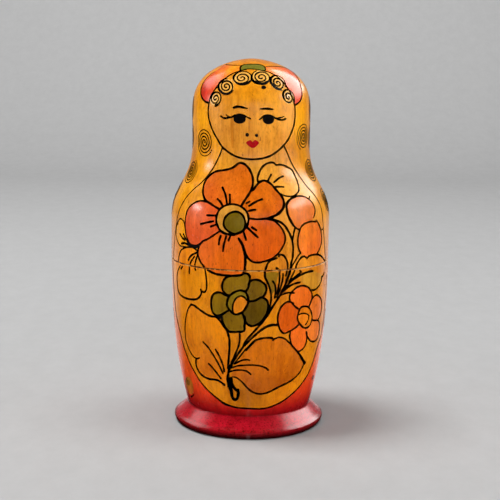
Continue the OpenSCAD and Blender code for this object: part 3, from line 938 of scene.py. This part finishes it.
# ---------- faint olive spots on the skirt: those in the photograph, then more round the back ----------
dab(oval(189.6, 385.5, 3.4, 9.2, -14), (188, 380, 166, 104, 26), (191, 392, 196, 96, 28))
dab(oval(188.4, 382.5, 1.6, 3.0, -14), (122, 78, 20), layer=2)
pen(0.6, "187,377.5 185.9,381 186.2,386 187.6,391.5", fine=True)
pen([1.2, 0.7], "191.2,397 192.6,396 194.2,394.4")
dab(oval(312.9, 377.6, 1.0, 2.6, 16), (120, 44, 16))


def spot(angle, height):
    """An olive oval with a darker eye, an ink line round part of it and a tick below."""
    a0, s0 = radians(angle), float(arc_at(height))
    r0 = float(arc_r(s0))
    t = np.linspace(0, 2 * pi, 29)
    for rx, ry, rise, tone, layer in ((2.6, 3.6, 0, (168, 104, 26), 1), (1.2, 1.3, 1.2, (118, 78, 18), 2)):
        ring = np.stack([a0 + rx * np.cos(t) / r0, s0 + rise + ry * np.sin(t)], 1)
        fills.append((ring[:-1], [(None, lin(*tone))], layer, False, False))
        if layer == 1:
            pen_on(0.7, ring[5:22], BIG)
    tick = ((-0.4, -5.0), (0.2, -4.6), (0.9, -4.0))
    pen_on([1.2, 0.7], np.array([(a0 + across / r0, s0 + up) for across, up in tick]))


for angle, height in ((98, 15), (84, 36), (132, 12), (120, 38), (165, 16), (156, 44)):
    spot(-angle, height)
    spot(angle, height)

# ---------- paint as thin shapes that lie on the skin ----------
SEAM_ARC, LOW_ARC, TOP_ARC = float(arc_at(SEAM_H)), float(arc_at(BASE_ROUND + 0.3)), float(ARC[-1])
BANDS = {0: (0.0, 0.4), 1: (0.41, 0.4), 2: (0.82, 0.08), 3: (0.91, 0.08), INK_LAYER: (0.0, 1.0)}  # UV room of a layer
CHART_R = 30  # millimetres to a radian in the flat chart that is filled with triangles
GRID = 0.7  # millimetres between the points of a filled shape
CLOSE = 0.12  # outline points nearer than this are one
BLEND = 4  # square millimetres over which a tone keeps its place
DYE_LIFT, LAYER_LIFT, SHAPE_LIFT = 0.013, 0.011, 0.0002  # above the skin: the first shape, each layer, each shape
INK_LIFT, LINE_LIFT = 0.072, 0.00008
ROUND_END = ((0.45, 0.9), (0.8, 0.6))  # end of a pen line: how far on and how wide, in half widths
PEN_SHARE = -0.42  # lines get relatively bolder as the dolls get smaller


def clip(poly, low, high):
    """The part of a closed outline between two distances along the profile."""
    for level, sign in ((low, 1), (high, -1)):
        out = []
        for a, b in zip(poly, np.roll(poly, -1, axis=0)):
            a_in, b_in = sign * (a[1] - level) >= 0, sign * (b[1] - level) >= 0
            if a_in:
                out.append(a)
            if a_in != b_in:
                out.append(a + (b - a) * (level - a[1]) / (b[1] - a[1]))
        poly = np.array(out)
        if len(poly) < 3:
            return None
    return poly


def even(outline, step):
    """The same closed outline with points at most a step apart."""
    out = []
    for a, b in zip(outline, np.roll(outline, -1, axis=0)):
        n = max(1, ceil(np.hypot(*(b - a)) / step))
        out.append(a + (b - a) * np.arange(n)[:, None] / n)
    return np.concatenate(out)


def patch(poly, tones, spacing):
    """Triangles that fill an outline of (angle, distance) pairs, with a colour for each corner."""
    flat = poly * (CHART_R, 1)
    keep = [flat[0]]
    for p in flat[1:]:
        if np.hypot(*(p - keep[-1])) > CLOSE:
            keep.append(p)
    if np.hypot(*(keep[-1] - keep[0])) < CLOSE:
        keep.pop()
    if len(keep) < 3:
        return None
    flat = even(np.array(keep), spacing)
    xs, ys = (np.arange(low + spacing / 2, high, spacing) for low, high in zip(flat.min(0), flat.max(0)))
    inner = np.stack(np.meshgrid(xs, ys), -1).reshape(-1, 2)
    verts = [Vector(p) for p in np.concatenate([flat, inner])]
    got, _, faces, *_ = delaunay_2d_cdt(verts, [], [list(range(len(flat)))], 1, 1e-6)
    pts = np.array([tuple(v) for v in got]) / (CHART_R, 1)
    colours = np.array([colour for _, colour in tones])
    if len(tones) == 1:
        return pts, faces, colours
    d = np.stack([np.hypot((pts[:, 0] - a) * CHART_R, pts[:, 1] - s) for (a, s), _ in tones], 1)
    w = 1 / (d**2 + BLEND)
    return pts, faces, (w[:, :, None] * colours[None]).sum(1) / w.sum(1)[:, None]


def ribbon(ts, widths, size, wobble):
    """A pen line as a strip with round ends."""
    r = arc_r(ts[:, 1])
    length = add_up(np.diff(ts, axis=0) * np.stack([(r[1:] + r[:-1]) / 2, np.ones(len(r) - 1)], 1))
    good = np.concatenate([[True], np.diff(length) > 1e-5])
    ts, length, r = ts[good], length[good], r[good]
    n = len(ts)
    if n < 2:
        return None
    x, y = np.gradient(ts[:, 0], length) * r, np.gradient(ts[:, 1], length)
    m = np.maximum(np.hypot(x, y), 1e-9)
    x, y = x / m, y / m
    w = np.interp(length / length[-1], np.linspace(0, 1, len(widths)), widths) / 2 * size
    # the hand is not quite steady
    w = w * (1 + 0.10 * np.sin(length * 1.7 + wobble) + 0.05 * np.sin(length * 4.1 + 2 * wobble))
    rows = [(0, -f * w[0], g * w[0]) for f, g in reversed(ROUND_END)]
    rows += [(i, 0.0, w[i]) for i in range(n)]
    rows += [(n - 1, f * w[-1], g * w[-1]) for f, g in ROUND_END]
    i = np.array([row[0] for row in rows])
    along, half = np.array([row[1:] for row in rows]).T
    sides = []
    for side in (1, -1):
        ox, oy = x[i] * along - side * y[i] * half, y[i] * along + side * x[i] * half
        sides.append(np.stack([ts[i, 0] + ox / r[i], ts[i, 1] + oy], 1))
    pts = np.stack(sides, 1).reshape(-1, 2)
    return pts, [(2 * j, 2 * j + 2, 2 * j + 3, 2 * j + 1) for j in range(len(rows) - 1)]


def painting(name, k, low, high, body):
    """All dye shapes and ink lines of one half, as one thin piece."""
    size, z0 = size_of(k), rest_of(k)
    verts, norms, faces, kinds, cols, chart = [], [], [], [], [], []
    count = 0

    def add(pts, fs, colours, lift, ink, layer):
        nonlocal count
        pts = np.stack([pts[:, 0], np.clip(pts[:, 1], low, high)], 1)
        p, n = on_skin(pts, lift / size)
        verts.append(p * size + (0, 0, z0))
        norms.append(n)
        cols.append(np.broadcast_to(colours, (len(pts), 3)))
        base, room = BANDS[layer]
        up = base + room * (pts[:, 1] - low) / (high - low)
        chart.append(np.stack([pts[:, 0] / (2 * pi) + 0.5, up], 1))
        faces.extend(tuple(i + count for i in f) for f in fs)
        kinds.extend([int(ink)] * len(fs))
        count += len(pts)

    for i, (poly, tones, layer, ink, fine) in enumerate(fills):
        part = None if fine and k > BIG[1] else clip(poly, low, high)
        made = None if part is None else patch(part, tones, GRID / size)
        if made:
            pts, fs, colours = made
            add(pts, fs, colours * SHADES[k], DYE_LIFT + LAYER_LIFT * layer + SHAPE_LIFT * i, ink, layer)
    skip = 1 + int(k > 1) + int(k > 4)  # the smaller dolls need fewer points to a line
    for i, (ts, widths, (first, last)) in enumerate(lines):
        if not first <= k <= last:
            continue
        ts = ts[np.unique(np.r_[np.arange(0, len(ts), skip), len(ts) - 1])]
        made = ribbon(ts, widths, size**PEN_SHARE, i * 1.3)
        if not made:
            continue
        pts, fs = made
        fs = [f for f in fs if low < pts[list(f), 1].mean() < high]
        if fs:
            used, swap = np.unique(np.array(fs), return_inverse=True)
            add(pts[used], swap.reshape(-1, 4).tolist(), np.zeros(3), INK_LIFT + LINE_LIFT * i, True, INK_LAYER)
    chart = np.concatenate(chart)
    uv = np.concatenate([chart[list(f)] for f in faces])
    o = new_object(name, np.concatenate(verts), faces, uv, np.concatenate(cols), (DYE, INK), kinds,
                   normals=np.concatenate(norms))
    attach(o, body)


# ---------- the dolls ----------
def dress(body, piece, section, k, dye_and_shade_at, seam_wear_shade=SEAM_WEAR_SHADE_BELOW):
    """Turns the wood of one piece in place of its CAD solid."""
    seg, n = (192, 40) if k == 0 else (128, 26) if k <= BIG[1] else (96, 18)
    o = lathe(piece, *section(k, n), k, seg, seam_wear_shade, lambda z: dye_and_shade_at(z) * SHADES[k])
    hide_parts(body)
    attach(o, body)


for k in range(DOLLS - 1):
    lower, upper = f"doll_{k + 1}_lower", f"doll_{k + 1}_upper"
    dress(lower, f"{lower}_half", lower_section, k, lambda z: tone_at(z, SKIRT))
    dress(upper, f"{upper}_half", upper_section, k, lambda z: tone_at(z, SHAWL), SEAM_WEAR_SHADE_ABOVE)
    painting(f"{lower}_painting", k, LOW_ARC if k else 0.0, SEAM_ARC - EDGE, lower)
    painting(f"{upper}_painting", k, SEAM_ARC + EDGE, TOP_ARC, upper)
k, body, slot = DOLLS - 1, "doll_7_solid", "small_doll_lacquer"
dress(body, "doll_7_figure", solid_section, k, lambda z: tone_at(z, SKIRT if z < SEAM_H else SHAWL))
painting("doll_7_painting", k, LOW_ARC, TOP_ARC, body)


# ---------- floor and light, in metres ----------
FLOOR_NEAR, FLOOR_FAR = (0.1, 0.475), (1.7, 0.73)  # distance behind the doll and tone of the floor there
FRONT, SIDE, BEND, BEND_R, TOP = -1.9, 1.5, 0.9, 0.8, 2.6  # where the floor starts, ends and bends up
FILL, BACKDROP = 0.06, 0.42  # light of the world on the doll, and what the camera sees of it beyond that
AIM = 0.07  # height at which the lights point


def floor_material():
    m, nt, bsdf = material("pale_floor")
    place = place_on(nt)
    mottle = ramp(nt, noise(nt, place, 90, (1, 0.6, 1), 6, 0.7), [(0.3, grey(0.965)), (0.7, grey(1.035))])
    x, y, _ = node(nt, "ShaderNodeSeparateXYZ", {0: place}).outputs
    back = map_range(nt, y, FLOOR_NEAR[0], FLOOR_FAR[0])
    tone = ramp(nt, back, [(0.0, grey(FLOOR_NEAR[1])), (1.0, grey(FLOOR_FAR[1]))])
    tone = mix_colour(nt, "MULTIPLY", 1.0, tone, mottle)
    # the lacquer mirrors the floor close behind the doll, little of what is far back, and nothing in front or aside
    aside = maths(nt, "DIVIDE", maths(nt, "ABSOLUTE", x), maths(nt, "MAXIMUM", y, 0.0005))
    unseen = maths(nt, "MAXIMUM", map_range(nt, aside, 0.8, 2.0), map_range(nt, y, 0.25, 0.8, 0.55))
    shown = ramp(nt, unseen, [(0.0, grey(0.75)), (1.0, grey(0.0))])
    mirrored = node(nt, "ShaderNodeLightPath").outputs["Is Glossy Ray"]
    feed(nt, bsdf, {"Base Color": mix_colour(nt, "MIX", mirrored, tone, shown), "Roughness": 0.9,
                    "Specular IOR Level": 0.1})
    return m


def sweep():
    """A pale floor that curves up into the backdrop."""
    turn_up = np.linspace(0.06, pi / 2, 24)
    bend = [(BEND + BEND_R * sin(a), BEND_R - BEND_R * cos(a)) for a in turn_up]
    run = [(FRONT, 0.0), (BEND, 0.0)] + bend + [(BEND + BEND_R, TOP)]
    me = bpy.data.meshes.new("floor")
    me.from_pydata([(x, y, z) for y, z in run for x in (-SIDE, SIDE)], [],
                   [(2 * i, 2 * i + 1, 2 * i + 3, 2 * i + 2) for i in range(len(run) - 1)])
    me.polygons.foreach_set("use_smooth", np.ones(len(me.polygons), bool))
    me.materials.append(floor_material())
    o = bpy.data.objects.new("floor", me)
    scene.collection.objects.link(o)


def studio():
    """A faint fill that the lacquer does not mirror, bright as the backdrop where the camera looks past the floor."""
    world = bpy.data.worlds.new("studio")
    scene.world = world
    world.use_nodes = True
    nt = world.node_tree
    seen = node(nt, "ShaderNodeLightPath").outputs["Is Camera Ray"]
    strength = maths(nt, "MULTIPLY_ADD", seen, BACKDROP, FILL)
    feed(nt, nt.nodes["Background"], {"Color": (1, 1, 1, 1), "Strength": strength})
    world.cycles_visibility.glossy = False


def soft_box(name, azimuth, height, away, size, watts, shine=False, spread=180):
    """A soft light at an azimuth from the front and a height, both in degrees, azimuth positive to the right.
    With shine it makes highlights in the lacquer and nothing else; without, it lights the colours and makes none."""
    a, e = radians(azimuth), radians(height)
    target = Vector((0, 0, AIM))
    place = Vector((away * cos(e) * sin(a), -away * cos(e) * cos(a), AIM + away * sin(e)))
    d = bpy.data.lights.new(name, "AREA")
    d.shape = "RECTANGLE"
    d.size, d.size_y = size
    d.energy = watts
    d.spread = radians(spread)
    o = bpy.data.objects.new(name, d)
    o.location = place
    o.rotation_euler = (target - place).to_track_quat("-Z", "Y").to_euler()
    o.visible_glossy, o.visible_diffuse = shine, not shine
    scene.collection.objects.link(o)


sweep()
studio()
soft_box("key", -92, 72, 1.3, (0.42, 0.42), 13.4)
soft_box("key_right", 92, 72, 1.3, (0.42, 0.42), 4.6)
soft_box("front", 8, 7, 2.2, (3.6, 0.6), 14.9, spread=100)
soft_box("side_left", -76, 4, 1.6, (1.2, 0.3), 3.24, spread=100)
soft_box("side_right", 76, 4, 1.6, (1.2, 0.3), 4.1, spread=100)
soft_box("left_strip", -86, 16, 1.1, (0.26, 0.09), 1.5, shine=True)
soft_box("left_rear", -123, 41, 1.1, (0.6, 0.5), 2.6, shine=True)
soft_box("right_strip", 80, 25, 1.1, (0.55, 0.11), 3.5, shine=True)
soft_box("right_rear", 124, 37, 1.1, (0.9, 0.8), 14.5, shine=True)
scene.view_settings.view_transform = "Standard"
